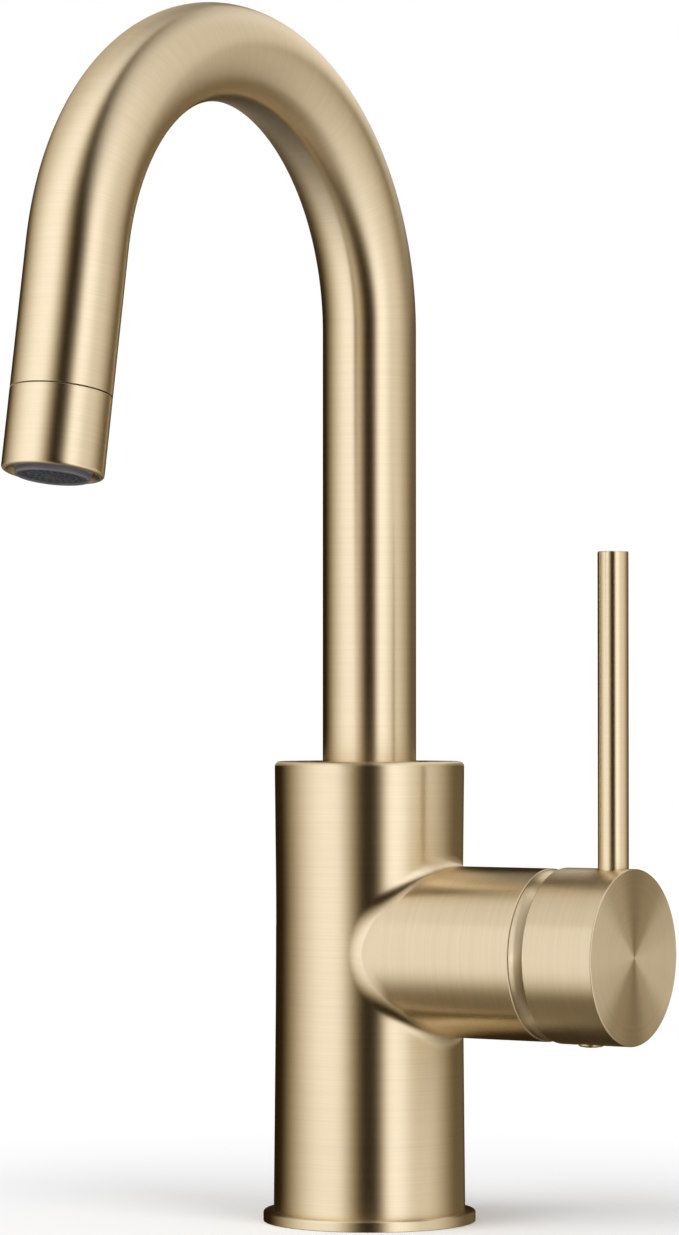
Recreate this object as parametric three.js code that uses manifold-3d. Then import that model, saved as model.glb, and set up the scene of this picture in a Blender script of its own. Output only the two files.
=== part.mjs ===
// Gooseneck bar faucet with a side lever, in millimetres.
// +Z is up and z = 0 is the top of the deck. The spout points to -Y and the handle to +X.
import * as THREE from "three";
import { mergeVertices } from "three/addons/utils/BufferGeometryUtils.js";
import Module from "manifold-3d";

const wasm = await Module();
wasm.setup();

// ---- Driving dimensions -------------------------------------------------------------------

// Gaps between pieces, broken edges, how far a cutter runs past a face, and round pieces' facets.
const clearance = 0.3;
const edgeBreak = 0.5;
const fineBreak = 0.3;
const threadChamfer = 0.8;
const overshoot = 1;
const visibleSides = 40;
const roomSides = 20;
const hiddenSides = 16;
const boltSides = 8;
const keySides = 6;

// Spout.
const tubeRadius = 12.5;
const tubeWall = 1.2;
const bendStart = 237.2;
const bendRadius = 66.4;
const bendAngle = THREE.MathUtils.degToRad(170);
const bendSteps = 30;
const tubeSides = 32;
const tubeBoreSides = 20;
const endLength = 36.9;
const sleeveLength = 20;

// Body and base.
const baseRingRadius = 28.3;
const baseRingHeight = 2.9;
const bodyTop = 122.4;
const bodyFootRadius = 25.55;
const bodyWaistRadius = 24.85;
const bodyWaistHeight = 78;
const bodyTopRadius = 25.35;
const bodyTopRounding = 1.3;
const waistBlend = 0.4;
const gasketInner = 20;
const gasketOuter = 25;
const gasketThickness = 1.2;

// Side branch and handle, measured from the body's axis.
const branchHeight = 72.3;
const branchRadius = 22.55;
const branchEnd = 56;
const branchFilletTop = 3.5;
const branchFilletSide = 10;
const filletSunk = 0.25;
const branchChamfer = 0.4;
const hubRadius = 22.85;
const hubRim = 60.4;
const hubFace = 80.7;
const rodRadius = 4;
const rodPlace = 74.6;
const rodTop = 177;
const plugPlace = 68;
const plugRadius = 3.4;
const plugProud = 0.6;

// Spout seat in the body.
const spoutBoreRadius = 14.5;
const spoutSeat = 86.5;
const thrustWasherHeight = 1.5;
const collarRadius = 15.7;
const collarHeight = 10;
const slipWasherHeight = 1;
const spigotHeight = 12;
const adapterBore = 9;
const oRingSection = 0.8;
const oRingGrooveWidth = 2.6;
const oRingSpacing = 7;
const thrustWasherBore = 8;

// Water ways in the body.
const mixChamberRadius = 7;
const mixChamberDepth = 10;
const portRadius = 3.2;
const inletSpread = 7;
const inletOffset = 4;
const inletPortDrop = 6;
const outletPortRise = 8;
const hoseSocketRadius = 5;
const hoseSocketDepth = 10;
const bodyHollowRadius = 14;
const bodyHollowTop = 44;

// Deck fixing.
const shankRadius = 15.9;
const shankBore = 12.4;
const shankDepth = 52;
const shankEngagement = 19;
const deckThickness = 20;
const rubberWasherHeight = 3;
const steelWasherHeight = 2;
const nutHeight = 8;
const nutAcrossFlats = 54;
const nutStandOff = 1;
const jackScrewRadius = 2.4;
const jackHeadRadius = 4;
const jackHeadHeight = 3.5;
const jackScrewReach = 6;
const screwSlotWidth = 1.2;
const screwSlotDepth = 1.4;

// Cartridge, with its lever pivot measured from the hub's rim.
const pivotDepth = 9;
const cartridgeSeat = 24.5;
const cartridgeRadius = 17.5;
const cartridgeBaseHeight = 4.1;
const discHeight = 3;
const fixedDiscRadius = 13.8;
const slidingDiscRadius = 10.6;
const discHollowRadius = 6.6;
const closedDiscOffset = 2.2;
const driverRadius = 9.5;
const driverHeight = 5;
const driverFloor = 0.8;
const housingWall = 3;
const housingShoulder = 47.5;
const housingTop = 55.5;
const housingNeckRadius = 12;
const carrierNeckRadius = 9.2;
const carrierPlateRadius = 14.2;
const stemWidth = 7.6;
const stemBall = 2.8;
const stemNeckRadius = 2;
const stemNeckLength = 3.8;
const stemEnd = 76.4;
const stemSlotTravel = 5.2;
const pivotPinRadius = 1.5;
const portSealInner = 3.6;
const portSealOuter = 4.8;
const portSealHeight = 1.5;
const discPortRadius = 2.8;
const nutThreadRadius = 18.9;
const nutTop = 54.4;
const nutNotchWidth = 5;
const nutNotchDepth = 2;

// Trim ring and the hollow of the hub, both round the lever pivot.
const domeRadius = 23.1;
const domeLandRadius = 22.3;
const domeFront = 11;
const domeOpening = 14.8;
const hubHollow = 23.55;
const hubHollowDepth = 18.2;
const bossRadius = 9;
const bossStart = 12.6;
const socketDepth = 13;
const rodSeat = 18.5;
const rodSpigotRadius = 2.5;
const rodSpigotEnd = 10;
const setScrewRadius = 2.4;
const setScrewLength = 4.6;
const keyRadius = 1.4;
const keyDepth = 1.2;
const plugDepth = 3.4;

// Outlet, measured from the seam between tube and sleeve.
const nippleWall = 1.8;
const nippleInTube = 9;
const nippleInSleeve = 7;
const aeratorSealHeight = 1.5;
const aeratorFlangeHeight = 1.5;
const aeratorBodyRadius = 9.7;
const aeratorNoseRadius = 9.2;
const aeratorBore = 7.7;
const aeratorProud = 1;
const aeratorLip = 6.9;
const aeratorLipDepth = 1;
const outletRounding = 0.7;
const outletBevelWidth = 1.4;
const outletBevelDepth = 1.2;
const insertSlotWidth = 0.9;
const coreSlotWidth = 1.2;
const slotShare = 0.75;
const screenHeight = 0.5;
const coreHeight = 3.4;
const outletInsertHeight = 4.6;

// ---- Values that follow from them ---------------------------------------------------------

const tubeBore = tubeRadius - tubeWall;
const pivotPlace = hubRim - pivotDepth;
const adapterRadius = spoutBoreRadius - clearance;
const adapterBottom = spoutSeat + thrustWasherHeight + clearance;
const collarBottom = bodyTop - collarHeight;
const tubeBottom = collarBottom - slipWasherHeight - 2 * clearance;
const shankTop = baseRingHeight + shankEngagement;
const shankHole = shankRadius + clearance;
const deckWasherRadius = nutAcrossFlats / 2;
const jackScrewPlace = (shankHole + nutAcrossFlats / 2) / 2;
const nutBottom = housingShoulder + clearance;

// The side group's frame: its x is up, its z runs out along the branch.
const sideAxis = new THREE.Vector3(1, 0, 1).normalize();
const sideTurn = new THREE.Quaternion().setFromAxisAngle(sideAxis, Math.PI);
const sidePlace = new THREE.Vector3(0, 0, branchHeight);
const sideMatrix = new THREE.Matrix4().compose(sidePlace, sideTurn, new THREE.Vector3(1, 1, 1));

// ---- Solids -------------------------------------------------------------------------------

// A closed mesh as a manifold-3d solid.
function solid(geometry) {
  const bare = geometry.clone();
  bare.deleteAttribute("normal");
  bare.deleteAttribute("uv");
  const merged = mergeVertices(bare, 1e-4);
  const mesh = new wasm.Mesh({
    numProp: 3,
    vertProperties: merged.attributes.position.array,
    triVerts: new Uint32Array(merged.index.array),
  });
  return new wasm.Manifold(mesh);
}

// The geometry of a manifold-3d solid.
function geometryOf(made) {
  const mesh = made.getMesh();
  const geometry = new THREE.BufferGeometry();
  geometry.setAttribute("position", new THREE.BufferAttribute(mesh.vertProperties, 3));
  geometry.setIndex(new THREE.BufferAttribute(mesh.triVerts, 1));
  const faceted = geometry.toNonIndexed();
  faceted.computeVertexNormals();
  return faceted;
}

// The first geometry with the others added to it.
function join(first, ...others) {
  return geometryOf(others.reduce((whole, other) => whole.add(solid(other)), solid(first)));
}

// The first geometry with the others cut out of it.
function cut(first, ...others) {
  return geometryOf(others.reduce((whole, other) => whole.subtract(solid(other)), solid(first)));
}

// A profile of [radius, height] points turned about the z axis.
function turned(profile, sides) {
  const points = profile.map(([radius, height]) => new THREE.Vector2(radius, height));
  const closes = points.some((point) => point.x > 0) && points[0].x > 0;
  if (THREE.ShapeUtils.area(points) < 0) points.reverse();
  if (closes) points.push(points[0].clone());
  return new THREE.LatheGeometry(points, sides).rotateX(Math.PI / 2);
}

// A plain ring or disc between two heights.
function ring(inner, outer, bottom, top, sides = hiddenSides) {
  if (inner === 0) return turned([[0, bottom], [outer, bottom], [outer, top], [0, top]], sides);
  return turned([[inner, bottom], [outer, bottom], [outer, top], [inner, top]], sides);
}

// A ring whose outer edges are broken.
function bevelledRing(inner, outer, bottom, top, bevel, sides = hiddenSides) {
  const profile = [
    [inner, bottom],
    [outer - bevel, bottom],
    [outer, bottom + bevel],
    [outer, top - bevel],
    [outer - bevel, top],
    [inner, top],
  ];
  return turned(profile, sides);
}

// A round bar along z from one height to another, with its axis at x, y.
function post(radius, x, y, bottom, top, sides = boltSides) {
  return ring(0, radius, bottom, top, sides).translate(x, y, 0);
}

// A round bar between two points.
function bar(radius, start, end, sides = boltSides) {
  const along = end.clone().sub(start);
  const upright = new THREE.Vector3(0, 0, 1);
  const turn = new THREE.Quaternion().setFromUnitVectors(upright, along.clone().normalize());
  const rod = ring(0, radius, 0, along.length(), sides).applyQuaternion(turn);
  return rod.translate(start.x, start.y, start.z);
}

// A block centred on x and y, between two heights.
function block(width, depth, bottom, top) {
  return new THREE.BoxGeometry(width, depth, top - bottom).translate(0, 0, (bottom + top) / 2);
}

// Points round a circle, or along a part of it.
function circle(radius, count, from = 0, sweep = 2 * Math.PI) {
  return Array.from({ length: count }, (_, i) => {
    const angle = from + (sweep * i) / (sweep < 2 * Math.PI ? count - 1 : count);
    return new THREE.Vector2(radius * Math.cos(angle), radius * Math.sin(angle));
  });
}

// Points of an arc in a profile, from one angle to another.
function arcPoints(centreRadius, centreHeight, radius, from, to, steps) {
  return Array.from({ length: steps + 1 }, (_, i) => {
    const angle = from + ((to - from) * i) / steps;
    return [centreRadius + radius * Math.cos(angle), centreHeight + radius * Math.sin(angle)];
  });
}

// ---- Base and deck fixing -----------------------------------------------------------------

function baseRing() {
  const recess = gasketThickness + clearance;
  const profile = [
    [shankHole, 0],
    [gasketInner - clearance, 0],
    [gasketInner - clearance, recess],
    [gasketOuter + clearance, recess],
    [gasketOuter + clearance, 0],
    [baseRingRadius, 0],
    [baseRingRadius, baseRingHeight - edgeBreak],
    [baseRingRadius - edgeBreak, baseRingHeight],
    [shankHole, baseRingHeight],
  ];
  return turned(profile, visibleSides);
}

function shank() {
  return bevelledRing(shankBore, shankRadius, -shankDepth, shankTop - clearance, threadChamfer);
}

function mountingNut(top) {
  const hexagon = new THREE.Shape();
  for (let corner = 0; corner < 6; corner += 1) {
    const angle = (corner * Math.PI) / 3;
    const reach = nutAcrossFlats / Math.sqrt(3);
    if (corner === 0) hexagon.moveTo(reach * Math.cos(angle), reach * Math.sin(angle));
    else hexagon.lineTo(reach * Math.cos(angle), reach * Math.sin(angle));
  }
  const blank = new THREE.ExtrudeGeometry(hexagon, { depth: nutHeight, bevelEnabled: false });
  blank.translate(0, 0, top - nutHeight);
  const screwHole = jackScrewRadius + clearance;
  const bottom = top - nutHeight - overshoot;
  return cut(
    blank,
    ring(0, shankHole, bottom, top + overshoot),
    post(screwHole, jackScrewPlace, 0, bottom, top + overshoot),
    post(screwHole, -jackScrewPlace, 0, bottom, top + overshoot),
  );
}

function jackScrew(side, top) {
  const headBottom = top - nutStandOff - nutHeight - jackScrewReach;
  const screw = turned(
    [
      [0, headBottom],
      [jackHeadRadius, headBottom],
      [jackHeadRadius, headBottom + jackHeadHeight],
      [jackScrewRadius, headBottom + jackHeadHeight],
      [jackScrewRadius, top - edgeBreak],
      [jackScrewRadius - edgeBreak, top],
      [0, top],
    ],
    boltSides,
  );
  const slotLength = 2 * (jackHeadRadius + overshoot);
  const slotTop = headBottom + screwSlotDepth;
  const slot = block(slotLength, screwSlotWidth, headBottom - overshoot, slotTop);
  return cut(screw, slot).translate(side * jackScrewPlace, 0, 0);
}

// ---- Body ---------------------------------------------------------------------------------

// The barrel's radius drawn in slightly to a waist behind the branch, as points from foot to top.
function barrelSide() {
  const foot = new THREE.Vector2(bodyFootRadius, baseRingHeight);
  const waist = new THREE.Vector2(bodyWaistRadius, bodyWaistHeight);
  const top = new THREE.Vector2(bodyTopRadius, bodyTop - bodyTopRounding);
  const blendStart = waist.clone().lerp(foot, waistBlend);
  const blendEnd = waist.clone().lerp(top, waistBlend);
  const blend = new THREE.QuadraticBezierCurve(blendStart, waist, blendEnd).getPoints(4);
  return [foot, ...blend, top];
}

// The barrel's radius at a height.
function barrelRadius(height) {
  const points = barrelSide();
  const next = Math.max(1, points.findIndex((point) => point.y >= height));
  const from = points[next - 1];
  const to = points[next];
  return THREE.MathUtils.mapLinear(height, from.y, to.y, from.x, to.x);
}

// A ball rolls round the edge where the branch meets the barrel, and is largest at the sides,
// where the walls meet at a shallow angle. Each section is its arc, closed inside both walls.
function branchFillet() {
  const sections = visibleSides;
  const arcSteps = 5;
  const positions = [];
  for (let i = 0; i < sections; i += 1) {
    const round = (2 * Math.PI * i) / sections;
    const sideShare = Math.sin(round) ** 2;
    const ball = THREE.MathUtils.lerp(branchFilletTop, branchFilletSide, sideShare);
    const out = new THREE.Vector3(0, Math.sin(round), Math.cos(round));
    const centre = out.clone().multiplyScalar(branchRadius + ball);
    const barrel = barrelRadius(branchHeight + centre.z);
    centre.x = Math.sqrt((barrel + ball) ** 2 - centre.y ** 2);
    const toBranch = out.clone().negate();
    const toBarrel = new THREE.Vector3(-centre.x, -centre.y, 0).normalize();
    const spread = toBranch.angleTo(toBarrel);
    const section = [];
    for (let step = 0; step <= arcSteps; step += 1) {
      const share = step / arcSteps;
      const fromBranch = Math.sin((1 - share) * spread) / Math.sin(spread);
      const fromBarrel = Math.sin(share * spread) / Math.sin(spread);
      const aim = toBranch.clone().multiplyScalar(fromBranch).addScaledVector(toBarrel, fromBarrel);
      section.push(centre.clone().addScaledVector(aim, ball));
    }
    // Both ends are sunk in their walls, so that the arc runs out on them.
    section.unshift(section[0].clone().addScaledVector(toBranch, filletSunk));
    section.push(section.at(-1).clone().addScaledVector(toBarrel, filletSunk));
    const inside = centre.clone().addScaledVector(toBranch, 2 * ball);
    section.push(inside.addScaledVector(toBarrel, ball));
    section.forEach((point) => positions.push(point.x, point.y, point.z + branchHeight));
  }
  const around = arcSteps + 4;
  const index = [];
  for (let i = 0; i < sections; i += 1) {
    const next = (i + 1) % sections;
    for (let j = 0; j < around; j += 1) {
      const k = (j + 1) % around;
      const corners = [i * around + j, next * around + j, next * around + k, i * around + k];
      index.push(corners[0], corners[1], corners[2], corners[0], corners[2], corners[3]);
    }
  }
  const geometry = new THREE.BufferGeometry();
  geometry.setAttribute("position", new THREE.Float32BufferAttribute(positions, 3));
  geometry.setIndex(index);
  return geometry;
}

function bodyBlank() {
  const side = barrelSide().map((point) => [point.x, point.y]);
  const rimRadius = bodyTopRadius - bodyTopRounding;
  const rim = arcPoints(rimRadius, bodyTop - bodyTopRounding, bodyTopRounding, 0, Math.PI / 2, 4);
  const profile = [[0, baseRingHeight], ...side, ...rim.slice(1), [0, bodyTop]];
  const barrel = turned(profile, visibleSides);
  const branch = turned(
    [
      [0, 0],
      [branchRadius, 0],
      [branchRadius, branchEnd - branchChamfer],
      [branchRadius - branchChamfer, branchEnd],
      [0, branchEnd],
    ],
    visibleSides,
  );
  return join(barrel, branch.applyMatrix4(sideMatrix), branchFillet());
}

// What is bored out of the branch: the cartridge's room and the nut's thread.
function cartridgeRoom() {
  const threadRadius = nutThreadRadius + clearance;
  const roomRadius = cartridgeRadius + clearance;
  return turned(
    [
      [0, cartridgeSeat],
      [roomRadius, cartridgeSeat],
      [roomRadius, nutBottom - 2 * clearance],
      [threadRadius, nutBottom - clearance],
      [threadRadius, branchEnd + overshoot],
      [0, branchEnd + overshoot],
    ],
    roomSides,
  ).applyMatrix4(sideMatrix);
}

// Each supply runs up from its hose socket, then across to its port in the cartridge's seat.
function supplyWay(side) {
  const y = side * inletSpread;
  const portHeight = branchHeight - inletPortDrop;
  const socketTop = bodyHollowTop + hoseSocketDepth;
  const socket = post(hoseSocketRadius, inletOffset, y, bodyHollowTop - overshoot, socketTop);
  const rise = post(portRadius, inletOffset, y, bodyHollowTop, portHeight);
  const across = bar(
    portRadius,
    new THREE.Vector3(inletOffset - portRadius, y, portHeight),
    new THREE.Vector3(cartridgeSeat + overshoot, y, portHeight),
  );
  return join(socket, rise, across);
}

function mixedWay() {
  const portHeight = branchHeight + outletPortRise;
  const chamberFloor = spoutSeat - mixChamberDepth;
  const chamber = ring(0, mixChamberRadius, chamberFloor, spoutSeat + overshoot);
  const across = bar(
    portRadius,
    new THREE.Vector3(0, 0, portHeight),
    new THREE.Vector3(cartridgeSeat + overshoot, 0, portHeight),
  );
  return join(chamber, across);
}

function body() {
  return cut(
    bodyBlank(),
    ring(0, shankHole, baseRingHeight - overshoot, shankTop, roomSides),
    ring(0, bodyHollowRadius, baseRingHeight, bodyHollowTop, roomSides),
    ring(0, spoutBoreRadius, spoutSeat, bodyTop + overshoot, roomSides),
    ring(0, collarRadius + clearance, collarBottom, bodyTop + overshoot, visibleSides),
    cartridgeRoom(),
    supplyWay(1),
    supplyWay(-1),
    mixedWay(),
  );
}

// ---- Spout --------------------------------------------------------------------------------

// The gooseneck's line: up, round the bend and down to the sleeve's seam.
// Its parameter spends all steps but two on the bend, since the straight ends need one each.
class GooseneckLine extends THREE.Curve {
  constructor() {
    super();
    this.steps = bendSteps + 2;
  }

  getUtoTmapping(u) {
    return u;
  }

  angleAt(t) {
    return THREE.MathUtils.clamp((t * this.steps - 1) / bendSteps, 0, 1) * bendAngle;
  }

  getPoint(t, target = new THREE.Vector3()) {
    const angle = this.angleAt(t);
    const step = t * this.steps;
    const up = Math.min(step, 1) * (bendStart - tubeBottom);
    const down = Math.max(step - this.steps + 1, 0) * endLength;
    const y = -bendRadius * (1 - Math.cos(angle)) - down * Math.sin(angle);
    const z = tubeBottom + up + bendRadius * Math.sin(angle) + down * Math.cos(angle);
    return target.set(0, y, z);
  }

  getTangent(t, target = new THREE.Vector3()) {
    const angle = this.angleAt(t);
    return target.set(0, -Math.sin(angle), Math.cos(angle));
  }
}

function spoutTube(line) {
  const section = new THREE.Shape(circle(tubeRadius, tubeSides));
  section.holes.push(new THREE.Path(circle(tubeBore, tubeBoreSides)));
  return new THREE.ExtrudeGeometry(section, { steps: line.steps, extrudePath: line });
}

const grooveCentres = [1, 2].map((place) => adapterBottom + place * oRingSpacing);
const oRingCentreRadius = adapterRadius - oRingSection;

function spoutAdapter() {
  const grooveFloor = oRingCentreRadius - oRingSection - clearance;
  const grooves = grooveCentres.flatMap((centre) => [
    [adapterRadius, centre - oRingGrooveWidth / 2],
    [grooveFloor, centre - oRingGrooveWidth / 2],
    [grooveFloor, centre + oRingGrooveWidth / 2],
    [adapterRadius, centre + oRingGrooveWidth / 2],
  ]);
  return turned(
    [
      [adapterBore, adapterBottom],
      [adapterRadius - threadChamfer, adapterBottom],
      [adapterRadius, adapterBottom + threadChamfer],
      ...grooves,
      [adapterRadius, tubeBottom],
      [tubeBore - clearance, tubeBottom],
      [tubeBore - clearance, tubeBottom + spigotHeight],
      [adapterBore, tubeBottom + spigotHeight],
    ],
    hiddenSides,
  );
}

function oRing(centre) {
  const section = arcPoints(oRingCentreRadius, centre, oRingSection, 0, 2 * Math.PI, 8);
  return turned(section.slice(0, -1), hiddenSides);
}

function spoutCollar() {
  const bore = tubeRadius + clearance;
  return bevelledRing(bore, collarRadius, collarBottom, bodyTop, fineBreak, visibleSides);
}

// ---- Outlet -------------------------------------------------------------------------------

const sealBottom = nippleInSleeve + clearance;
const flangeStart = sealBottom + aeratorSealHeight + clearance;
const sleeveShoulder = flangeStart + aeratorFlangeHeight + clearance;
const noseEnd = sleeveLength + aeratorProud;
const threadBore = tubeBore;
const sleeveBore = aeratorBodyRadius + clearance;

function outletNipple() {
  const outer = tubeBore - clearance;
  return bevelledRing(outer - nippleWall, outer, -nippleInTube, nippleInSleeve, fineBreak);
}

function outletSleeve() {
  const lipRadius = tubeRadius - outletRounding;
  const lipPlace = sleeveLength - outletRounding;
  const rounding = arcPoints(lipRadius, lipPlace, outletRounding, 0, Math.PI / 2, 4);
  const profile = [
    [threadBore, clearance],
    [tubeRadius, clearance],
    ...rounding,
    [sleeveBore + outletBevelWidth, sleeveLength],
    [sleeveBore, sleeveLength - outletBevelDepth],
    [sleeveBore, sleeveShoulder],
    [threadBore, sleeveShoulder],
  ];
  return turned(profile, visibleSides);
}

function aeratorHousing() {
  const profile = [
    [aeratorBore, flangeStart],
    [threadBore - clearance, flangeStart],
    [threadBore - clearance, flangeStart + aeratorFlangeHeight],
    [aeratorBodyRadius, flangeStart + aeratorFlangeHeight],
    [aeratorBodyRadius, sleeveLength - 2 * edgeBreak],
    [aeratorNoseRadius, sleeveLength - edgeBreak],
    [aeratorNoseRadius, noseEnd - edgeBreak],
    [aeratorNoseRadius - edgeBreak, noseEnd],
    [aeratorLip + fineBreak, noseEnd],
    [aeratorLip, noseEnd - fineBreak],
    [aeratorLip, noseEnd - aeratorLipDepth],
    [aeratorBore, noseEnd - aeratorLipDepth],
  ];
  return turned(profile, roomSides);
}

// A round plate with rings of curved slots through it.
function slottedPlate(radius, bottom, top, rings) {
  const plate = new THREE.Shape(circle(radius, hiddenSides));
  rings.forEach(({ at, width, count }) => {
    for (let i = 0; i < count; i += 1) {
      const start = (2 * Math.PI * i) / count;
      const sweep = (slotShare * 2 * Math.PI) / count;
      const inner = circle(at - width / 2, 3, start, sweep);
      const outer = circle(at + width / 2, 3, start, sweep);
      plate.holes.push(new THREE.Path([...inner, ...outer.reverse()]));
    }
  });
  const options = { depth: top - bottom, bevelEnabled: false };
  return new THREE.ExtrudeGeometry(plate, options).translate(0, 0, bottom);
}

// ---- Cartridge, in the side group's frame -------------------------------------------------

const baseBottom = cartridgeSeat + 2 * clearance;
const baseTop = baseBottom + cartridgeBaseHeight;
const fixedDiscBottom = baseTop + clearance;
const slidingDiscBottom = fixedDiscBottom + discHeight + clearance;
const driverBottom = slidingDiscBottom + discHeight + clearance;
const carrierPlateBottom = driverBottom + driverHeight + clearance;
const ballCentre = driverBottom + driverFloor + clearance + stemBall;
const sealTop = cartridgeSeat + clearance + portSealHeight;
const ports = [
  [-inletPortDrop, -inletSpread],
  [-inletPortDrop, inletSpread],
  [outletPortRise, 0],
];

function cartridgeBase() {
  const holes = ports.flatMap(([x, y]) => [
    post(portRadius, x, y, baseBottom - overshoot, baseTop + overshoot),
    post(portSealOuter + clearance, x, y, baseBottom - overshoot, sealTop + clearance),
  ]);
  const blank = bevelledRing(0, cartridgeRadius, baseBottom, baseTop, edgeBreak, roomSides);
  return cut(blank, ...holes);
}

function portSeal([x, y]) {
  const bottom = cartridgeSeat + clearance;
  return ring(portSealInner, portSealOuter, bottom, sealTop, boltSides).translate(x, y, 0);
}

function fixedDisc() {
  const bottom = fixedDiscBottom - overshoot;
  const holes = ports.map(([x, y]) => post(discPortRadius, x, y, bottom, driverBottom));
  const blank = ring(0, fixedDiscRadius, fixedDiscBottom, fixedDiscBottom + discHeight, roomSides);
  return cut(blank, ...holes);
}

// The sliding disc's hollow joins the ports when it is moved over them.
function slidingDisc() {
  const bottom = slidingDiscBottom;
  const disc = ring(0, slidingDiscRadius, bottom, bottom + discHeight, roomSides);
  const hollow = ring(0, discHollowRadius, bottom - overshoot, bottom + discHeight / 2);
  return cut(disc, hollow).translate(-closedDiscOffset, 0, 0);
}

function discDriver() {
  const top = driverBottom + driverHeight;
  const plate = ring(0, driverRadius, driverBottom, top, roomSides);
  plate.translate(-closedDiscOffset, 0, 0);
  const pocket = 2 * (stemBall + clearance);
  return cut(plate, block(pocket, pocket, driverBottom + driverFloor, top + overshoot));
}

function cartridgeHousing() {
  const roomRadius = carrierPlateRadius + clearance;
  const profile = [
    [roomRadius, baseTop + clearance],
    [cartridgeRadius, baseTop + clearance],
    [cartridgeRadius, housingShoulder - edgeBreak],
    [cartridgeRadius - edgeBreak, housingShoulder],
    [housingNeckRadius, housingShoulder],
    [housingNeckRadius, housingTop - edgeBreak],
    [housingNeckRadius - edgeBreak, housingTop],
    [carrierNeckRadius + clearance, housingTop],
    [carrierNeckRadius + clearance, housingShoulder - housingWall],
    [roomRadius, housingShoulder - housingWall],
  ];
  return turned(profile, roomSides);
}

// A round plate under two ears that hold the pivot pin; the stem swings in the slot between them.
function carrier() {
  const plateTop = housingShoulder - housingWall - clearance;
  const blank = turned(
    [
      [0, carrierPlateBottom],
      [carrierPlateRadius, carrierPlateBottom],
      [carrierPlateRadius, plateTop],
      [carrierNeckRadius, plateTop],
      [carrierNeckRadius, housingTop],
      [0, housingTop],
    ],
    roomSides,
  );
  const slotWidth = stemWidth + 2 * clearance;
  const slotLength = stemWidth + 2 * stemSlotTravel;
  const neckLength = 2 * (carrierNeckRadius + overshoot);
  return cut(
    blank,
    block(slotLength, slotWidth, carrierPlateBottom - overshoot, plateTop + overshoot),
    block(neckLength, slotWidth, plateTop - overshoot, housingTop + overshoot),
    pinBar(pivotPinRadius + clearance, carrierNeckRadius + overshoot),
  );
}

function pinBar(radius, halfLength) {
  const start = new THREE.Vector3(0, -halfLength, pivotPlace);
  const end = new THREE.Vector3(0, halfLength, pivotPlace);
  return bar(radius, start, end);
}

// A square bar, rounded down to a neck and a ball that pushes the disc driver.
function leverStem() {
  const shaftBottom = ballCentre + stemBall + stemNeckLength;
  const shaft = block(stemWidth, stemWidth, shaftBottom, stemEnd);
  const ball = arcPoints(0, ballCentre, stemBall, -Math.PI / 2, Math.PI / 4, 6).slice(1);
  const neckTop = shaftBottom + overshoot;
  const profile = [[0, ballCentre - stemBall], ...ball, [stemNeckRadius, neckTop], [0, neckTop]];
  const tip = turned(profile, boltSides);
  return cut(join(shaft, tip), pinBar(pivotPinRadius + clearance, stemWidth));
}

function cartridgeNut() {
  const bore = housingNeckRadius + clearance;
  const blank = bevelledRing(bore, nutThreadRadius, nutBottom, nutTop, edgeBreak, roomSides);
  const across = 2 * (nutThreadRadius + overshoot);
  const floor = nutTop - nutNotchDepth;
  const notches = [0, 1].map((turn) =>
    block(nutNotchWidth, across, floor, nutTop + overshoot).rotateZ((turn * Math.PI) / 2),
  );
  return cut(blank, ...notches);
}

// A short land against the branch, then a dome round the lever pivot, so the hub can tilt over it.
function domeRing() {
  const back = branchEnd + clearance;
  const spigot = nutThreadRadius;
  const landAngle = Math.acos(domeLandRadius / domeRadius);
  const frontAngle = Math.asin(domeFront / domeRadius);
  const profile = [
    [domeOpening, nutTop + clearance],
    [spigot, nutTop + clearance],
    [spigot, back],
    [domeLandRadius - branchChamfer, back],
    [domeLandRadius, back + branchChamfer],
    ...arcPoints(0, pivotPlace, domeRadius, landAngle, frontAngle, 5),
    [domeOpening, pivotPlace + domeFront],
  ];
  return turned(profile, visibleSides);
}

// ---- Handle, in the side group's frame ----------------------------------------------------

function hub() {
  const rimAngle = Math.asin(pivotDepth / hubHollow);
  const floorAngle = Math.asin(hubHollowDepth / hubHollow);
  const hollow = arcPoints(0, pivotPlace, hubHollow, rimAngle, floorAngle, 8);
  const profile = [
    ...hollow,
    [bossRadius, pivotPlace + hubHollowDepth],
    [bossRadius, pivotPlace + bossStart],
    [0, pivotPlace + bossStart],
    [0, hubFace],
    [hubRadius - fineBreak, hubFace],
    [hubRadius, hubFace - fineBreak],
    [hubRadius, hubRim + fineBreak],
    [hubRadius - fineBreak, hubRim],
  ];
  const socket = stemWidth + 2 * clearance;
  const socketStart = pivotPlace + bossStart;
  return cut(
    turned(rotateToAxis(profile), visibleSides),
    block(socket, socket, socketStart - overshoot, socketStart + socketDepth),
    upBar(rodRadius + clearance, rodPlace, rodSeat, hubRadius + overshoot),
    upBar(rodSpigotRadius + clearance, rodPlace, rodSpigotEnd - clearance, rodSeat + overshoot),
    downBar(setScrewRadius + clearance, plugPlace, 0, bossRadius + overshoot),
    downBar(plugRadius + clearance, plugPlace, bossRadius + overshoot, hubRadius + overshoot),
  );
}

// The same closed profile, started at its first point on the axis.
function rotateToAxis(profile) {
  const start = profile.findIndex((point, i) => point[0] === 0 && profile[i + 1][0] === 0) + 1;
  return [...profile.slice(start), ...profile.slice(0, start)];
}

// A round bar square to the branch, rising between two distances from its axis.
function upBar(radius, place, from, to) {
  return bar(radius, new THREE.Vector3(from, 0, place), new THREE.Vector3(to, 0, place), roomSides);
}

function downBar(radius, place, from, to, sides = roomSides) {
  const start = new THREE.Vector3(-from, 0, place);
  const end = new THREE.Vector3(-to, 0, place);
  return bar(radius, start, end, sides);
}

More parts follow.
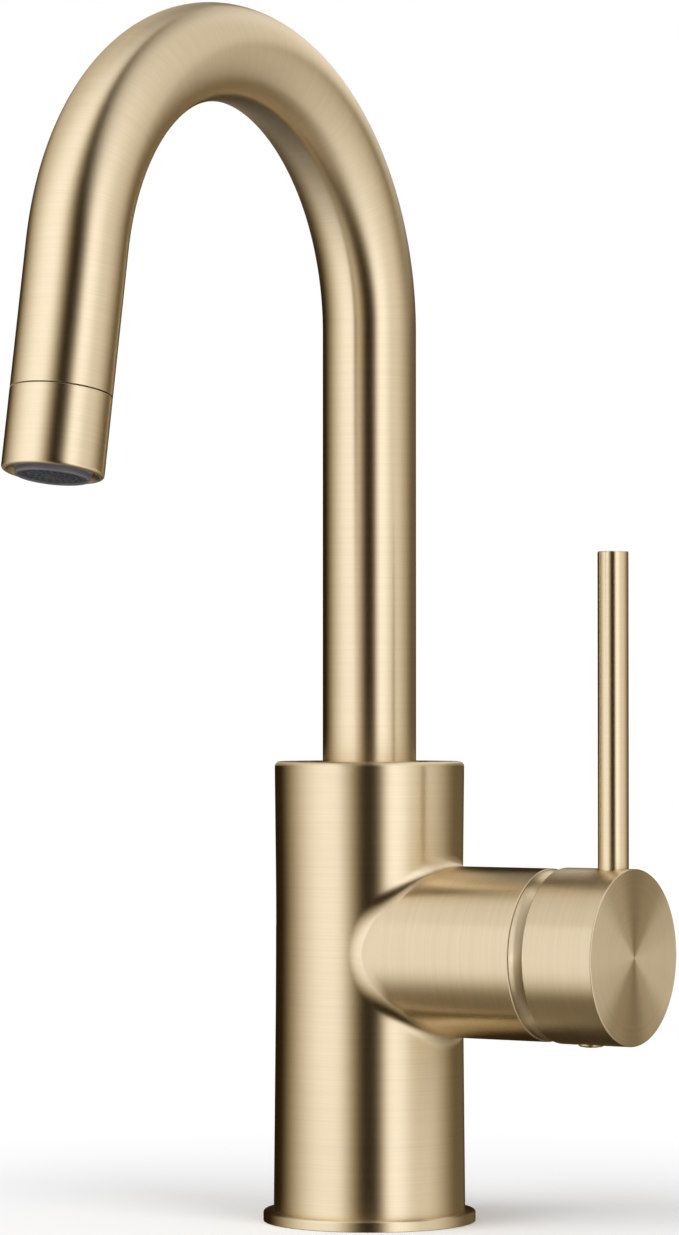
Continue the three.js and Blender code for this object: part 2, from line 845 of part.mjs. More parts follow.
// The lever rod stands on +Z of the object, which is the side group's x.
function leverRod() {
  const top = rodTop - branchHeight;
  const profile = [
    [0, rodSpigotEnd],
    [rodSpigotRadius, rodSpigotEnd],
    [rodSpigotRadius, rodSeat + clearance],
    [rodRadius, rodSeat + clearance],
    [rodRadius, top - fineBreak],
    [rodRadius - fineBreak, top],
    [0, top],
  ];
  return turned(profile, roomSides).rotateY(Math.PI / 2).translate(0, 0, rodPlace);
}

function setScrew() {
  const tip = stemWidth / 2 + clearance;
  const end = tip + setScrewLength;
  const key = downBar(keyRadius, plugPlace, end - keyDepth, end + overshoot, keySides);
  return cut(downBar(setScrewRadius, plugPlace, tip, end, boltSides), key);
}

function screwPlug() {
  const end = hubRadius + plugProud;
  const profile = [
    [0, end - plugDepth - plugProud],
    [plugRadius, end - plugDepth - plugProud],
    [plugRadius, end - plugProud],
    [plugRadius - edgeBreak, end - plugProud / 2],
    [plugRadius / 2, end],
    [0, end],
  ];
  return turned(profile, hiddenSides).rotateY(-Math.PI / 2).translate(0, 0, plugPlace);
}

// ---- Assembly -----------------------------------------------------------------------------

const gold = { color: 0xcfb88f, roughness: 0.32, metalness: 1 };
const brass = { color: 0xc2a35a, roughness: 0.4, metalness: 1 };
const steel = { color: 0xb8babd, roughness: 0.35, metalness: 1 };
const rubber = { color: 0x262626, roughness: 0.85, metalness: 0 };
const whitePlastic = { color: 0xe4e2dc, roughness: 0.5, metalness: 0 };
const greyPlastic = { color: 0x6c6d72, roughness: 0.5, metalness: 0 };
const darkPlastic = { color: 0x3c3d40, roughness: 0.55, metalness: 0 };
const ceramic = { color: 0xd9d3c4, roughness: 0.2, metalness: 0 };

const faucet = new THREE.Group();
const outlet = new THREE.Group();
const side = new THREE.Group();
faucet.add(outlet, side);

function place(group, name, geometry, finish) {
  const mesh = new THREE.Mesh(geometry, new THREE.MeshStandardMaterial(finish));
  mesh.name = name;
  group.add(mesh);
}

const neck = new GooseneckLine();
const rubberTop = -deckThickness;
const steelTop = rubberTop - rubberWasherHeight;
const steelBottom = steelTop - steelWasherHeight;
const collarWasherTop = collarBottom - clearance;
const collarWasherBottom = collarWasherTop - slipWasherHeight;

const deckWasher = (bottom, top) => ring(shankHole, deckWasherRadius, bottom, top, roomSides);
const gasket = ring(gasketInner, gasketOuter, 0, gasketThickness, visibleSides);
place(faucet, "base_ring", baseRing(), gold);
place(faucet, "base_gasket", gasket, rubber);
place(faucet, "threaded_shank", shank(), brass);
place(faucet, "rubber_washer", deckWasher(steelTop, rubberTop), rubber);
place(faucet, "steel_washer", deckWasher(steelBottom, steelTop), steel);
place(faucet, "mounting_nut", mountingNut(steelBottom - nutStandOff), brass);
place(faucet, "jack_screw_left", jackScrew(-1, steelBottom), steel);
place(faucet, "jack_screw_right", jackScrew(1, steelBottom), steel);

const bodyWasher = (bore, bottom, top) => ring(bore, adapterRadius, bottom, top);
const thrustWasher = bodyWasher(thrustWasherBore, spoutSeat, spoutSeat + thrustWasherHeight);
const slipWasher = bodyWasher(tubeRadius + clearance, collarWasherBottom, collarWasherTop);
place(faucet, "body", body(), gold);
place(faucet, "spout_thrust_washer", thrustWasher, whitePlastic);
place(faucet, "slip_washer", slipWasher, whitePlastic);
place(faucet, "spout_collar", spoutCollar(), gold);
place(faucet, "spout_adapter", spoutAdapter(), brass);
grooveCentres.forEach((centre, i) => place(faucet, `spout_o_ring_${i + 1}`, oRing(centre), rubber));
place(faucet, "spout_tube", spoutTube(neck), gold);

outlet.position.copy(neck.getPoint(1));
outlet.rotation.x = bendAngle;
const coreBottom = flangeStart + screenHeight + clearance;
const insertBottom = coreBottom + coreHeight + clearance;
const insertTop = insertBottom + outletInsertHeight;
const insertRings = [
  { at: 5.6, width: insertSlotWidth, count: 12 },
  { at: 3.2, width: insertSlotWidth, count: 8 },
];
const coreRings = [{ at: 5, width: coreSlotWidth, count: 8 }];
const plateRadius = aeratorBore - clearance;
const sealTopInSleeve = sealBottom + aeratorSealHeight;
const aeratorSeal = ring(aeratorBore, threadBore - clearance, sealBottom, sealTopInSleeve);
const screen = ring(0, plateRadius, flangeStart, flangeStart + screenHeight);
const core = slottedPlate(plateRadius, coreBottom, coreBottom + coreHeight, coreRings);
const insert = slottedPlate(plateRadius, insertBottom, insertTop, insertRings);
place(outlet, "outlet_nipple", outletNipple(), brass);
place(outlet, "outlet_sleeve", outletSleeve(), gold);
place(outlet, "aerator_seal", aeratorSeal, rubber);
place(outlet, "aerator_housing", aeratorHousing(), greyPlastic);
place(outlet, "aerator_screen", screen, steel);
place(outlet, "aerator_core", core, whitePlastic);
place(outlet, "outlet_insert", insert, darkPlastic);

side.position.copy(sidePlace);
side.quaternion.copy(sideTurn);
place(side, "cartridge_base", cartridgeBase(), whitePlastic);
place(side, "cold_port_seal", portSeal(ports[0]), rubber);
place(side, "hot_port_seal", portSeal(ports[1]), rubber);
place(side, "mixed_port_seal", portSeal(ports[2]), rubber);
place(side, "fixed_disc", fixedDisc(), ceramic);
place(side, "sliding_disc", slidingDisc(), ceramic);
place(side, "disc_driver", discDriver(), whitePlastic);
place(side, "cartridge_housing", cartridgeHousing(), whitePlastic);
place(side, "cartridge_carrier", carrier(), darkPlastic);
place(side, "pivot_pin", pinBar(pivotPinRadius, carrierNeckRadius - 2 * clearance), steel);
place(side, "cartridge_nut", cartridgeNut(), brass);
place(side, "dome_ring", domeRing(), gold);
place(side, "lever_stem", leverStem(), brass);
place(side, "handle_hub", hub(), gold);
place(side, "lever_rod", leverRod(), gold);
place(side, "handle_set_screw", setScrew(), steel);
place(side, "screw_plug", screwPlug(), gold);

export default faucet;
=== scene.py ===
# Gooseneck bar faucet with a side lever, brushed gold. Metres, +Z up, spout to -Y, handle to +X.
import math

import bmesh
import bpy
from mathutils import Matrix, Vector


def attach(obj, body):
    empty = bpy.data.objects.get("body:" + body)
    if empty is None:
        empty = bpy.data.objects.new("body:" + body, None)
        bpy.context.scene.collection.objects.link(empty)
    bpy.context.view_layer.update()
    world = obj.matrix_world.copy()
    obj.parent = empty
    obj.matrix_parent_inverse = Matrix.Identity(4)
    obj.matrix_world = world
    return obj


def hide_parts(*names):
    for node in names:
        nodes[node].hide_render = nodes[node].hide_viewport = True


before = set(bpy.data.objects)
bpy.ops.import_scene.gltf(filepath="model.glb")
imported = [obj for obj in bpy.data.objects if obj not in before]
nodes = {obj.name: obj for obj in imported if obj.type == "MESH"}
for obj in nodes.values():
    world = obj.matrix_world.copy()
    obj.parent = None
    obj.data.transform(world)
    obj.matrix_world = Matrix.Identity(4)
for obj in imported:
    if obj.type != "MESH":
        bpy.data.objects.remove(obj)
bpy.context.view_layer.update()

# ---- Camera ------------------------------------------------------------------------------------
# A long lens a little above the middle of the faucet, turned to the front right of it, so that the
# spout comes forward to the left and the side handle goes back to the right.
lens = bpy.data.cameras.new("photo_lens")
lens.lens = 125.006
lens.sensor_width = 36
lens.clip_start = 0.05
lens.clip_end = 40
camera = bpy.data.objects.new("photo_camera", lens)
camera.location = (0.61658, -0.96817, 0.13489)
camera.rotation_euler = (math.radians(91.2954), 0, math.radians(32.891))
bpy.context.scene.collection.objects.link(camera)
bpy.context.scene.camera = camera
bpy.context.scene.view_settings.view_transform = "Standard"


# ---- Floor, backdrop and lights ----------------------------------------------------------------
# A pale floor, lit near the faucet and as white as the surround further out. Two soft boxes light
# the scene. Gloss alone sees a dark light tent with soft boxes of its own, which give the metal its
# light and dark bands.
room_light = 0.55
shaded_floor_radius = 0.04
white_floor_radius = 0.26
floor_half_width = 6
tent_radius = 0.6
tent_bottom = -0.6
tent_top = 1.0
tent_wall_light = 0.02
left_box_light = 1.32
right_box_light = 1.41
high_right_box_light = 1.15
high_left_box_light = 0.72
lamp_aim = Vector((0, 0, 0.15))


class Signal:
    """A number that varies over a surface: a shader socket that takes part in sums."""

    def __init__(self, finish, socket):
        self.finish = finish
        self.socket = socket

    def __add__(self, other):
        return self.finish.maths("ADD", self, other)

    def __radd__(self, other):
        return self.finish.maths("ADD", other, self)

    def __sub__(self, other):
        return self.finish.maths("SUBTRACT", self, other)

    def __rsub__(self, other):
        return self.finish.maths("SUBTRACT", other, self)

    def __mul__(self, other):
        return self.finish.maths("MULTIPLY", self, other)

    def __rmul__(self, other):
        return self.finish.maths("MULTIPLY", other, self)

    def __truediv__(self, other):
        return self.finish.maths("DIVIDE", self, other)

    def __pow__(self, other):
        return self.finish.maths("POWER", self, other)

    def most(self, other):
        return self.finish.maths("MAXIMUM", self, other)

    def ramp(self, low, high):
        """0 below low, 1 above high and smooth between them."""
        settings = {"interpolation_type": "SMOOTHSTEP"}
        return self.finish.signal("ShaderNodeMapRange", 0, settings, {0: self, 1: low, 2: high})

    def band(self, start, rise, fall, end):
        """1 between rise and fall, and smoothly down to 0 at start and end."""
        return self.ramp(start, rise) * (1 - self.ramp(fall, end))


class Finish:
    """The node tree of a material, or of the world."""

    def __init__(self, owner):
        owner.use_nodes = True
        self.owner = owner
        self.tree = owner.node_tree
        self.tree.nodes.clear()

    def node(self, kind, settings=None, inputs=None):
        made = self.tree.nodes.new(kind)
        for name, value in (settings or {}).items():
            setattr(made, name, value)
        for name, value in (inputs or {}).items():
            if isinstance(value, Signal):
                self.tree.links.new(value.socket, made.inputs[name])
            else:
                made.inputs[name].default_value = value
        return made

    def signal(self, kind, output=0, settings=None, inputs=None):
        return Signal(self, self.node(kind, settings, inputs).outputs[output])

    def maths(self, operation, *values):
        settings = {"operation": operation}
        return self.signal("ShaderNodeMath", 0, settings, dict(enumerate(values)))

    def place(self):
        """The point on the piece as x, y and z in metres."""
        point = self.signal("ShaderNodeTexCoord", "Object")
        split = self.node("ShaderNodeSeparateXYZ", inputs={0: point})
        return [Signal(self, output) for output in split.outputs]

    def point(self, x, y, z):
        return self.signal("ShaderNodeCombineXYZ", inputs={0: x, 1: y, 2: z})

    def noise(self, where, scale, detail, roughness=0.5):
        inputs = {"Vector": where, "Scale": scale, "Detail": detail, "Roughness": roughness}
        return self.signal("ShaderNodeTexNoise", "Fac", inputs=inputs)

    def blend(self, share, first, second):
        """A colour between two colours."""
        inputs = {0: share, 6: first, 7: second}
        return self.signal("ShaderNodeMix", 2, {"data_type": "RGBA"}, inputs)

    def layer(self, share, first, second):
        """A surface between two surfaces."""
        return self.signal("ShaderNodeMixShader", inputs={0: share, 1: first, 2: second})

    def seen(self):
        """1 to the camera, and in gloss and glass; 0 where light falls on something dull."""
        path = self.node("ShaderNodeLightPath").outputs
        camera_ray = Signal(self, path["Is Camera Ray"])
        glossy_ray = Signal(self, path["Is Glossy Ray"])
        clear_ray = Signal(self, path["Is Transmission Ray"])
        return camera_ray.most(glossy_ray).most(clear_ray)

    def surface(self, made, kind="ShaderNodeOutputMaterial"):
        self.node(kind, inputs={"Surface": made})
        return self.owner


def white_studio_world():
    world = Finish(bpy.data.worlds.new("white_studio"))
    room, surround = [
        world.signal("ShaderNodeBackground", inputs={"Color": (1, 1, 1, 1), "Strength": strength})
        for strength in (room_light, 1)
    ]
    return world.surface(world.layer(world.seen(), room, surround), "ShaderNodeOutputWorld")


def pale_floor_finish():
    finish = Finish(bpy.data.materials.new("pale_floor"))
    x, y, _ = finish.place()
    away = ((x * x + y * y) ** 0.5).ramp(shaded_floor_radius, white_floor_radius)
    matte = finish.signal("ShaderNodeBsdfDiffuse", inputs={"Color": (0.93, 0.93, 0.93, 1)})
    white = finish.signal("ShaderNodeEmission", inputs={"Color": (1, 1, 1, 1), "Strength": 1})
    return finish.surface(finish.layer(away * finish.seen(), matte, white))


def stand_in_room(bm, name, material):
    mesh = bpy.data.meshes.new(name)
    bm.to_mesh(mesh)
    bm.free()
    mesh.materials.append(material)
    made = bpy.data.objects.new(name, mesh)
    bpy.context.scene.collection.objects.link(made)
    return made


def pale_floor():
    bm = bmesh.new()
    bmesh.ops.create_grid(bm, x_segments=1, y_segments=1, size=floor_half_width)
    stand_in_room(bm, "floor", pale_floor_finish()).visible_glossy = False


# Bearings are degrees round the faucet from the camera's, to the right as the camera sees it.
camera_bearing = math.atan2(camera.location.y, camera.location.x)


def bearing_round_camera(x, y):
    """The bearing of a point from the camera's, in degrees from -180 to 180."""
    across = y * math.cos(camera_bearing) - x * math.sin(camera_bearing)
    towards = x * math.cos(camera_bearing) + y * math.sin(camera_bearing)
    return x.finish.maths("ARCTAN2", across, towards) * (180 / math.pi)


def warm_when_dim(finish, level):
    """White where it is bright, and the brown of a dim warm room where it isn't."""
    inputs = {"Red": level, "Green": level**1.13, "Blue": level**1.4}
    return finish.signal("ShaderNodeCombineColor", inputs=inputs)


def light_tent_finish():
    """Soft boxes on a dark round wall: one to the left that is dimmer below, and one on the right
    that fades towards the back. Two more hang high at the back. Nothing stands at the camera."""
    finish = Finish(bpy.data.materials.new("light_tent"))
    x, y, z = finish.place()
    out = (x * x + y * y) ** 0.5
    bearing = bearing_round_camera(x, y)
    left = bearing.band(-138, -56, -43, -6) * (0.13 + 0.87 * z.ramp(-0.66, -0.04))
    right = bearing.band(8, 27, 146, 178) * (0.5 + 0.5 * z.ramp(-0.6, -0.2))
    right_fade = 1 - bearing.ramp(34, 60) * 0.33 - bearing.ramp(66, 129) * 0.57
    low = left * left_box_light + right * right_fade * right_box_light + tent_wall_light
    high_right = bearing.band(95, 125, 163, 180) * z.ramp(0.38, 0.58) * high_right_box_light
    high_left = bearing.band(-180, -115, -60, 0) * z.ramp(0.3, 0.6) * high_left_box_light
    high = high_right.most(high_left) * out.ramp(0.2, 0.45)
    glow = warm_when_dim(finish, low.most(high))
    light = finish.signal("ShaderNodeEmission", inputs={"Color": glow, "Strength": 1})
    return finish.surface(light)


def light_tent():
    """A closed drum round the faucet that only gloss sees. It goes on under the floor, which gloss
    looks through, so the metal shines as if the faucet were held up inside a tent."""
    bm = bmesh.new()
    profile = [(0, tent_bottom), (tent_radius, tent_bottom), (tent_radius, tent_top), (0, tent_top)]
    rim = [bm.verts.new((radius, 0, height)) for radius, height in profile]
    edges = [bm.edges.new(pair) for pair in zip(rim, rim[1:])]
    turn = {"axis": (0, 0, 1), "cent": (0, 0, 0), "angle": 2 * math.pi}
    bmesh.ops.spin(bm, geom=rim + edges, **turn, steps=64, use_merge=True)
    bmesh.ops.remove_doubles(bm, verts=bm.verts, dist=1e-6)
    tent = stand_in_room(bm, "light_tent", light_tent_finish())
    tent.visible_camera = False
    tent.visible_diffuse = False
    tent.visible_shadow = False


def soft_box(name, bearing, distance, height, side, power):
    light = bpy.data.lights.new(name, "AREA")
    light.shape = "SQUARE"
    light.size = side
    light.energy = power
    lamp = bpy.data.objects.new(name, light)
    angle = camera_bearing + math.radians(bearing)
    lamp.location = (distance * math.cos(angle), distance * math.sin(angle), height)
    lamp.rotation_euler = (lamp.location - lamp_aim).to_track_quat("Z", "Y").to_euler()
    lamp.visible_camera = False
    lamp.visible_glossy = False
    bpy.context.scene.collection.objects.link(lamp)


bpy.context.scene.world = white_studio_world()
pale_floor()
light_tent()
soft_box("soft_box_left", bearing=-60, distance=1.2, height=0.9, side=1.2, power=12)
soft_box("soft_box_right", bearing=40, distance=1.2, height=0.9, side=0.8, power=8)


# ---- Body --------------------------------------------------------------------------------------
# A brass barrel with the side branch cast on it, turned, blended by hand where the two meet,
# brushed round each of them and coated gold. It is bored from above for the spout, from below for
# the threaded shank and from the side for the cartridge.
clearance = 0.0003
base_ring_height = 0.0029
body_top = 0.1224
body_foot_radius = 0.02555
body_waist_radius = 0.02485
body_waist_height = 0.078
body_top_radius = 0.02535
body_top_rounding = 0.0013
branch_height = 0.0723
branch_radius = 0.02255
branch_end = 0.056
branch_side_start = 0.044
branch_fillet_top = 0.0035
branch_fillet_side = 0.016
brush_turn_top = 0.0034
brush_turn_side = 0.00105
branch_chamfer = 0.0002
spout_seat = 0.0865
spout_bore = 0.0145
collar_radius = 0.0157
collar_height = 0.010
shank_hole = 0.0162
shank_top = 0.0219
hollow_radius = 0.014
hollow_top = 0.044
cartridge_seat = 0.0245
seat_centre = 0.002
cartridge_room = 0.0178
nut_thread = 0.0192
nut_seat = 0.0475

gold = (0.80, 0.655, 0.435)
fine_groove = 0.00022
coarse_groove = 0.0011
groove_depth = 0.00004
across_the_view = (-math.sin(camera_bearing), math.cos(camera_bearing))


def shade(colour, level):
    return (*(channel * level for channel in colour), 1)


def brush_lines(finish, slow_a, slow_b, grain):
    """The lines that a brush leaves across the grain's direction, and a slow cloud over them."""
    along = 26
    fine = finish.noise(finish.point(slow_a * along, slow_b * along, grain / fine_groove), 1, 3)
    half = along / 2
    coarse = finish.noise(finish.point(slow_a * half, slow_b * half, grain / coarse_groove), 1, 2)
    cloud = finish.noise(finish.point(slow_a, slow_b, grain), 38, 2)
    return fine * 0.6 + coarse * 0.4, (coarse - 0.5) * 0.04 + (cloud - 0.5) * 0.04


def gold_coats(finish, lines, uneven, turns, roughness=0.34, stretch=0.95):
    """Gold over brushed brass, one coat for each way that the highlights are stretched."""
    colour = finish.blend(lines.ramp(0.25, 0.75), shade(gold, 0.95), shade(gold, 1.04))
    bump = {"Strength": 0.05, "Distance": groove_depth, "Height": lines}
    inputs = {
        "Base Color": colour,
        "Metallic": 1,
        "Roughness": roughness + uneven,
        "Normal": finish.signal("ShaderNodeBump", "Normal", inputs=bump),
        "Anisotropic": stretch,
    }
    return [
        finish.signal("ShaderNodeBsdfPrincipled", inputs={**inputs, "Anisotropic Rotation": turn})
        for turn in turns
    ]


def brushed_gold(name, slow_and_grain):
    finish = Finish(bpy.data.materials.new(name))
    lines, uneven = brush_lines(finish, *slow_and_grain(finish))
    return finish.surface(gold_coats(finish, lines, uneven, [0.25])[0])


def round_the_barrel(finish):
    """Grooves that run round the upright axis, and round it on flat faces too."""
    x, y, z = finish.place()
    return x, y, z + (x * x + y * y) ** 0.5


def round_the_branch(finish):
    """Grooves that run round the branch's axis, on flat faces too."""
    x, y, z = finish.place()
    up = z - branch_height
    return y, up, x + (y * y + up * up) ** 0.5


def barrel_and_branch_gold():
    """The brush goes round the barrel, and round the branch where on_branch is 1."""
    finish = Finish(bpy.data.materials.new("brushed_gold_body"))
    x, y, z = finish.place()
    up = z - branch_height
    from_barrel = (x * x + y * y) ** 0.5
    from_branch = (y * y + up * up) ** 0.5
    on_branch = finish.signal("ShaderNodeAttribute", "Fac", {"attribute_name": "on_branch"})
    on_barrel = 1 - on_branch
    grain = (z + from_barrel) * on_barrel + (x + from_branch) * on_branch
    lines, uneven = brush_lines(finish, x * on_barrel + up * on_branch, y, grain)
    barrel_coat, branch_coat = gold_coats(finish, lines, uneven, [0.25, 0])
    return finish.surface(finish.layer(on_branch, barrel_coat, branch_coat))


def rounded(corners):
    """A profile with its corners rounded. A corner is a radius, a place along the axis and, where
    it is rounded, the radius of its rounding."""
    steps = 4
    points = []
    for i, corner in enumerate(corners):
        here = Vector(corner[:2])
        rounding = corner[2] if len(corner) > 2 else 0
        if not rounding:
            points.append(here)
            continue
        back = Vector(corners[i - 1][:2]) - here
        ahead = Vector(corners[(i + 1) % len(corners)][:2]) - here
        half = back.angle(ahead) / 2
        reach = rounding / math.tan(half)
        start = here + back.normalized() * reach
        end = here + ahead.normalized() * reach
        inward = (back.normalized() + ahead.normalized()).normalized()
        centre = here + inward * rounding / math.sin(half)
        if back.length > 3 * reach:
            points.append(start + back.normalized() * rounding / 2)
        for step in range(steps + 1):
            share = step / steps
            point = (start - centre).lerp(end - centre, share).normalized() * rounding + centre
            points.append(point)
        if ahead.length > 3 * reach:
            points.append(end + ahead.normalized() * rounding / 2)
    return points


def spun(corners, sides=128, closed=True):
    """A bmesh turned about the z axis from a profile."""
    bm = bmesh.new()
    points = rounded(corners)
    made = [bm.verts.new((point.x, 0, point.y)) for point in points]
    edges = [bm.edges.new(pair) for pair in zip(made, made[1:])]
    if closed and points[0].x > 0:
        edges.append(bm.edges.new((made[-1], made[0])))
    turn = {"axis": (0, 0, 1), "cent": (0, 0, 0), "angle": 2 * math.pi}
    bmesh.ops.spin(bm, geom=made + edges, **turn, steps=sides, use_merge=True)
    bmesh.ops.remove_doubles(bm, verts=bm.verts, dist=1e-7)
    bmesh.ops.recalc_face_normals(bm, faces=bm.faces)
    return bm


def finished(bm, name, body, material, stands_for, place=None):
    """The object made from a bmesh: smooth but for its sharp edges, and riding on its body."""
    if place is not None:
        bmesh.ops.transform(bm, matrix=place, verts=bm.verts)
    for face in bm.faces:
        face.smooth = True
    sharp = math.radians(32)
    for edge in bm.edges:
        edge.smooth = edge.calc_face_angle(0) < sharp
    mesh = bpy.data.meshes.new(name)
    bm.to_mesh(mesh)
    bm.free()
    mesh.materials.append(material)
    made = bpy.data.objects.new(name, mesh)
    bpy.context.scene.collection.objects.link(made)
    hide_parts(stands_for)
    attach(made, body)
    return made


def brush_round(made, axis=(0, 0)):
    """Highlights are stretched across the way round this upright axis where a coat's turn is 0.25,
    and along it where the turn is 0. The renderer takes the axis from the texture space."""
    made.data.use_auto_texspace = False
    made.data.texspace_location = (*axis, 0)
    made.data.texspace_size = (1, 1, 1)


def brush_direction(made, direction):
    """The same for one level direction, which is the way round an axis that is far off."""
    far_off = 20
    brush_round(made, (direction[1] * far_off, -direction[0] * far_off))


def barrel_radius(height):
    """The barrel is drawn in slightly to a waist behind the branch."""
    if height < body_waist_height:
        end, end_radius = base_ring_height, body_foot_radius
    else:
        end, end_radius = body_top - body_top_rounding, body_top_radius
    share = abs((height - body_waist_height) / (end - body_waist_height))
    slope = end_radius - body_waist_radius
    soft = 0.4  # the share of the way over which the waist is rounded
    if share >= soft:
        return body_waist_radius + slope * share
    return body_waist_radius + slope * (share * share / soft + soft) / 2


# The branch grows out of a square patch of the barrel's mesh.
patch_columns = 48
barrel_sides = 108
patch_half_turn = math.pi * patch_columns / barrel_sides
patch_half_height = 0.0335
patch_rings = 18
fillet_rings = 10
fillet_shares_on_branch = (1.15, 1.4, 1.7, 2)
fillet_growth = 8


def patch_edge(way_round):
    """The bearing and height of the patch's square edge at an angle round the branch."""
    eighth = math.pi / 4
    side = int(((way_round + eighth) % (2 * math.pi)) // (2 * eighth))
    slide = ((way_round + eighth) % (2 * eighth)) / eighth - 1
    across, up = [(slide, 1), (1, -slide), (-slide, -1), (-1, slide)][side]
    return Vector((across * patch_half_turn, branch_height + up * patch_half_height))


def rolling_ball(way_round):
    """The centre and radius of a ball that touches barrel and branch, and its ways to each. The
    ball is small on top and below, and grows towards the sides."""
    across = math.sin(way_round)
    growth = across**fillet_growth
    ball = branch_fillet_top + (branch_fillet_side - branch_fillet_top) * growth
    out = Vector((0, across, math.cos(way_round)))
    centre = out * (branch_radius + ball)
    barrel = barrel_radius(branch_height + centre.z)
    centre.x = math.sqrt((barrel + ball) ** 2 - centre.y**2)
    return centre, ball, -Vector((centre.x, centre.y, 0)).normalized(), -out


def on_patch(way_round, share):
    """From the patch's square edge, at 0, to the line where the ball touches the barrel, at 1."""
    centre, ball, to_barrel, _ = rolling_ball(way_round)
    touch = centre + to_barrel * ball
    inner = Vector((math.atan2(touch.y, touch.x), branch_height + touch.z))
    bearing, height = patch_edge(way_round).lerp(inner, share)
    radius = barrel_radius(height)
    return Vector((radius * math.cos(bearing), radius * math.sin(bearing), height))


def on_fillet(way_round, share):
    """From the ball's touch on the barrel, at 0, to the line where the brush turns from the barrel
    to the branch, at 1, and on to the ball's touch on the branch, at 2. That line lies a short
    reach outside the crossing of the two cylinders."""
    centre, ball, to_barrel, to_branch = rolling_ball(way_round)
    corner = to_barrel.angle(to_branch)
    reach = brush_turn_side + (brush_turn_top - brush_turn_side) * abs(math.cos(way_round))
    branch = -to_branch * branch_radius
    crossing = math.sqrt(barrel_radius(branch_height + branch.z) ** 2 - branch.y**2)
    sunk = (centre.x - crossing - reach) / ball
    rest = math.asin(sunk * math.sin(corner) / -to_barrel.x) / corner
    along = share * (1 - rest) if share < 1 else 1 - rest * (2 - share)
    aim = to_barrel.slerp(to_branch, along)
    return centre + aim * ball + Vector((0, 0, branch_height))


def on_branch(way_round, radius, place):
    out = Vector((0, math.sin(way_round), math.cos(way_round)))
    return out * radius + Vector((place, 0, branch_height))


def branch_profile():
    """The branch beyond its fillet: its side, chamfered end, thread, room and cartridge seat."""
    corners = [
        (branch_radius, branch_side_start),
        (branch_radius, branch_end - branch_chamfer),
        (branch_radius - branch_chamfer, branch_end),
        (nut_thread, branch_end),
        (nut_thread, nut_seat),
        (cartridge_room, nut_seat),
        (cartridge_room, cartridge_seat),
        (seat_centre, cartridge_seat),
    ]
    return rounded(corners)


def barrel_with_hole():
    """The barrel with its bores, without the patch that the branch grows from."""
    low = branch_height - patch_half_height
    high = branch_height + patch_half_height
    shoulder = body_top - body_top_rounding
    side = []
    stretches = [(base_ring_height, low, 14), (low, high, patch_columns), (high, shoulder, 6)]
    for start, end, rows in stretches:
        heights = [start + (end - start) * i / rows for i in range(rows)]
        side += [(barrel_radius(height), height) for height in heights]
    corners = [
        (0, hollow_top),
        (hollow_radius, hollow_top),
        (hollow_radius, shank_top),
        (shank_hole, shank_top),
        (shank_hole, base_ring_height),
        *side,
        (body_top_radius, body_top, body_top_rounding),
        (collar_radius + clearance, body_top),
        (collar_radius + clearance, body_top - collar_height),
        (spout_bore, body_top - collar_height),
        (spout_bore, spout_seat),
        (0, spout_seat),
    ]
    bm = spun(corners, barrel_sides, closed=False)

    def in_patch(face):
        middle = face.calc_center_median()
        near = abs(math.atan2(middle.y, middle.x)) < patch_half_turn
        return near and low < middle.z < high and middle.xy.length > shank_hole

    bmesh.ops.delete(bm, geom=[face for face in bm.faces if in_patch(face)], context="FACES")
    return bm


def way_round_from_edge(point):
    """The angle round the branch of a point on the patch's square edge."""
    across = math.atan2(point.y, point.x) / patch_half_turn
    up = (point.z - branch_height) / patch_half_height
    eighth = math.pi / 4
    edge = 0.999
    if up > edge:
        return eighth * across
    if across > edge:
        return eighth * (2 - up)
    if up < -edge:
        return eighth * (4 - across)
    return eighth * (6 + up)


def faucet_body():
    """The barrel with the branch drawn out of it ring by ring. The attribute on_branch tells the
    gold which way the brush goes."""
    bm = barrel_with_hole()
    way = bm.verts.layers.float.new("way_round")
    brushed = bm.verts.layers.float.new("on_branch")
    loop = [edge for edge in bm.edges if edge.is_boundary]
    for vert in {vert for edge in loop for vert in edge.verts}:
        vert[way] = way_round_from_edge(vert.co)
    rings = [(0, on_patch, (i + 1) / patch_rings) for i in range(patch_rings)]
    rings += [(0, on_fillet, (i + 1) / fillet_rings) for i in range(fillet_rings)]
    rings += [(1, on_fillet, share) for share in fillet_shares_on_branch]
    rings += [(1, on_branch, *point) for point in branch_profile()]
    for brush, place, *at in rings:
        made = bmesh.ops.extrude_edge_only(bm, edges=loop)["geom"]
        loop = [part for part in made if isinstance(part, bmesh.types.BMEdge)]
        for vert in (part for part in made if isinstance(part, bmesh.types.BMVert)):
            vert.co = place(vert[way], *at)
            vert[brushed] = brush
    bmesh.ops.contextual_create(bm, geom=loop)
    bmesh.ops.recalc_face_normals(bm, faces=bm.faces)
    return finished(bm, "body_shell", "faucet_body", barrel_and_branch_gold(), "body")


brush_direction(faucet_body(), across_the_view)


# ---- Base ring ---------------------------------------------------------------------------------
# A turned and brushed ring under the body, slightly wider than it, with a broken top edge. The
# body stands on it and hides its bore; the gasket sits in a recess underneath.
base_ring_radius = 0.0283
base_ring_edge = 0.0006
gasket_inner = 0.0197
gasket_outer = 0.0253
gasket_recess = 0.0015

base_profile = [
    (shank_hole, 0),
    (gasket_inner, 0),
    (gasket_inner, gasket_recess),
    (gasket_outer, gasket_recess),
    (gasket_outer, 0),
    (base_ring_radius, 0, 0.0002),
    (base_ring_radius, base_ring_height, base_ring_edge),
    (shank_hole, base_ring_height),
]
ring_gold = brushed_gold("brushed_gold_ring", round_the_barrel)
base = finished(
    spun(base_profile, 160), "base_ring_turned", "faucet_body", ring_gold, "base_ring"
)
brush_round(base)


